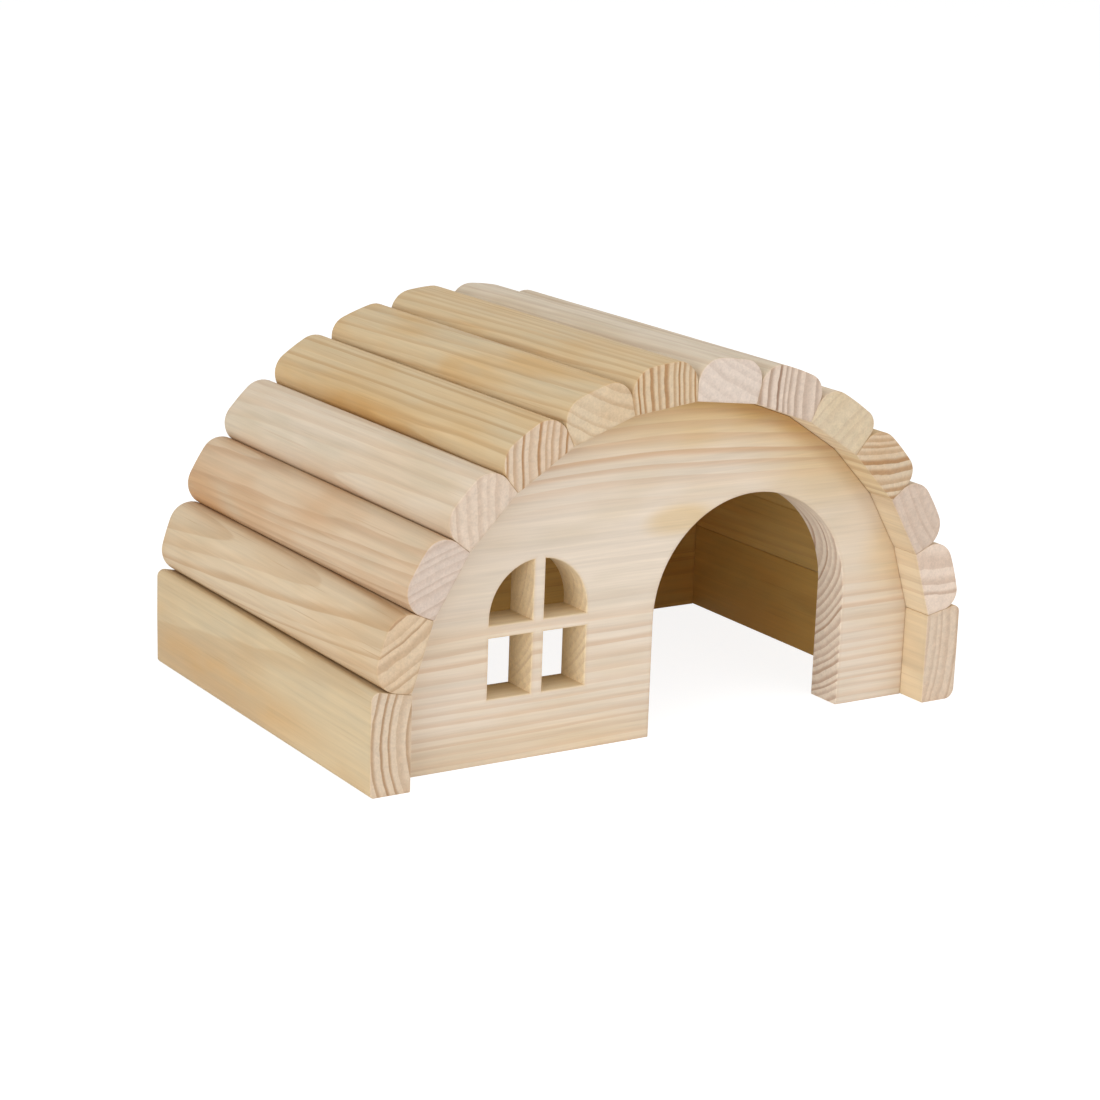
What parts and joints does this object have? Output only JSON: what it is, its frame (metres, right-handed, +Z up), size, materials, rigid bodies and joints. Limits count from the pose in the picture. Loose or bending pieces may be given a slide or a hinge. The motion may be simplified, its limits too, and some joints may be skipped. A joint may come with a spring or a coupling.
{
  "type": "wooden hamster house",
  "caption": "Arched wooden hamster house without a floor: slatted roof over end walls, with a round-headed doorway and a small barred window in the front wall.",
  "frame": {"origin": "on the floor, under the middle of the outline seen from above", "axes": "+Z up, +X to the right as seen from the front, the front wall with the doorway faces -Y"},
  "size_m": [0.19, 0.13, 0.1052],
  "materials": {
    "pine_wall": "bare planed pine board with level grain, sanded, no varnish",
    "pine_slat": "bare planed pine slats with grain along their length, sawn end grain, no varnish",
    "beech_dowel": "bare turned beech, glued in"
  },
  "bodies": {
    "root": {"front_wall": "pine_wall", "back_wall": "pine_wall", "left_base_slat": "pine_slat", "right_base_slat": "pine_slat", "roof_slat_01": "pine_slat", "roof_slat_02": "pine_slat", "roof_slat_03": "pine_slat", "roof_slat_04": "pine_slat", "roof_slat_05": "pine_slat", "roof_slat_06": "pine_slat", "roof_slat_07": "pine_slat", "roof_slat_08": "pine_slat", "roof_slat_09": "pine_slat", "roof_slat_10": "pine_slat", "roof_slat_11": "pine_slat", "roof_slat_12": "pine_slat", "front_dowels": "beech_dowel", "back_dowels": "beech_dowel"}
  },
  "joints": []
}
